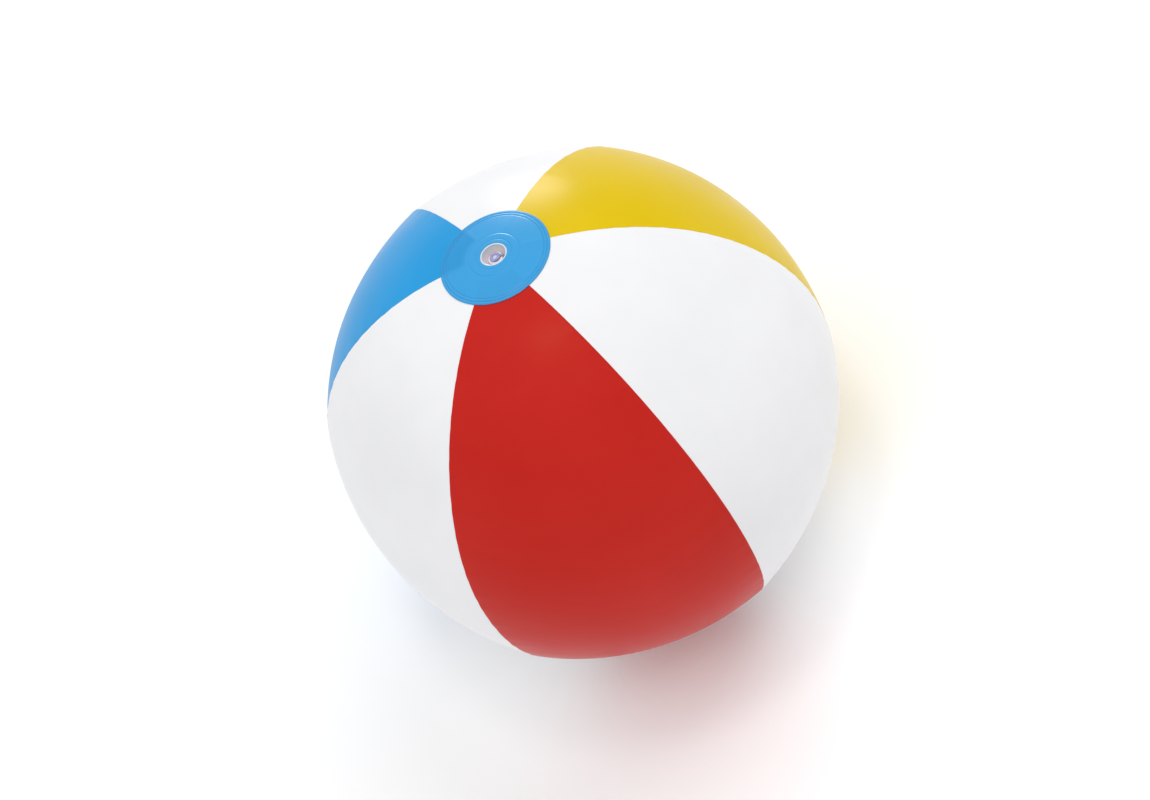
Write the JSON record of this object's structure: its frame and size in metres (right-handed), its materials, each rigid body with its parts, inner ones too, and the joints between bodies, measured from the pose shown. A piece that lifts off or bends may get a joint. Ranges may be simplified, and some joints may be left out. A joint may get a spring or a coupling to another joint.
{
  "type": "inflatable beach ball",
  "caption": "Inflated beach ball of welded colour and white film panels, with a round disc over each pole and a push-in air valve.",
  "frame": {"origin": "centre of the inflated ball", "axes": "+Z out through the air valve along the axis that the panels meet on, -Y out through the middle of the red panel"},
  "size_m": [0.362, 0.3564, 0.3515],
  "materials": {
    "red_film": "soft gloss vinyl film",
    "yellow_film": "soft gloss vinyl film",
    "blue_film": "soft gloss vinyl film",
    "white_film": "soft gloss vinyl film",
    "clear_valve": "translucent soft vinyl moulding"
  },
  "bodies": {
    "ball": {"panel_red": "red_film", "panel_white_right": "white_film", "panel_yellow": "yellow_film", "panel_white_back": "white_film", "panel_blue": "blue_film", "panel_white_left": "white_film", "seam_fin_1": "red_film", "seam_fin_2": "white_film", "seam_fin_3": "yellow_film", "seam_fin_4": "white_film", "seam_fin_5": "blue_film", "seam_fin_6": "white_film", "valve_disc": "blue_film", "bottom_disc": "blue_film", "valve_flange": "clear_valve", "valve_skirt": "clear_valve"},
    "stem": {"valve_stem": "clear_valve", "plug_tether": "clear_valve"},
    "plug": {"valve_plug": "clear_valve"},
    "flap": {"valve_flap": "clear_valve"}
  },
  "joints": [
    {"name": "valve_slide", "type": "slide", "parent": "ball", "child": "stem", "axis": [0, 0, 1], "range_m": [0, 0.018], "deforming": ["valve_skirt"]},
    {"name": "plug_pull", "type": "slide", "parent": "stem", "child": "plug", "axis": [0, 0, 1], "range_m": [0, 0.012], "deforming": ["plug_tether"]},
    {"name": "flap_hinge", "type": "hinge", "parent": "stem", "child": "flap", "pos_m": [-0.0046, 0, 0.15798], "axis": [0, 1, 0], "range_deg": [0, 60], "stiffness_Nm_per_rad": 0.00006}
  ]
}
